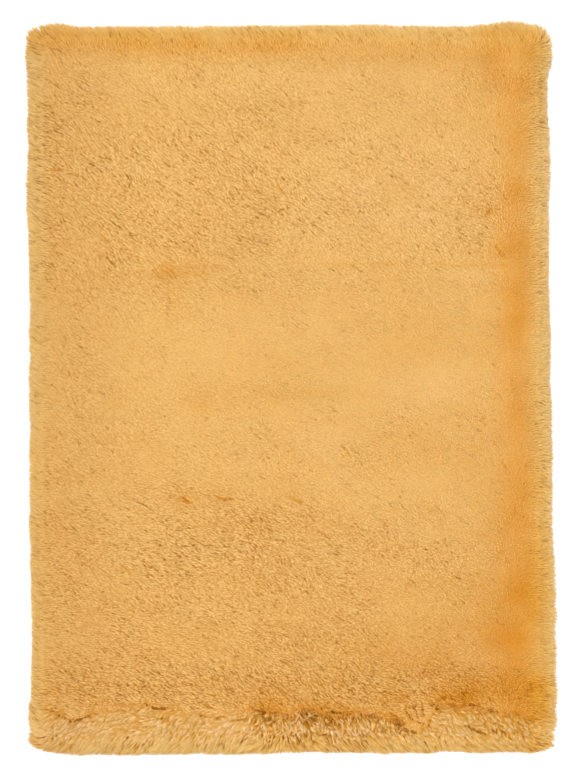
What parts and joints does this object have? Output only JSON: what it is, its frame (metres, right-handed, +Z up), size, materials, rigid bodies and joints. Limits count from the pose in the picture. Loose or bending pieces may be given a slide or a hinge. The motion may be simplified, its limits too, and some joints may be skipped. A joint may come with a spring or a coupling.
{
  "type": "plush area rug",
  "caption": "Rectangular plush area rug with deep soft pile, round corners, an uneven furry rim and a flat underside, lying flat on a floor.",
  "frame": {"origin": "the middle of the underside, on the floor, at the centre of the part's own box", "axes": "+X across the width, +Y along the length, away from the end that faces the viewer in the picture, +Z up out of the pile"},
  "size_m": [1.2872, 1.7772, 0.0406],
  "materials": {
    "plush_pile": "matt golden ochre polyester pile with soft pale tips"
  },
  "bodies": {
    "root": {"plush_panel": "plush_pile"}
  },
  "joints": []
}
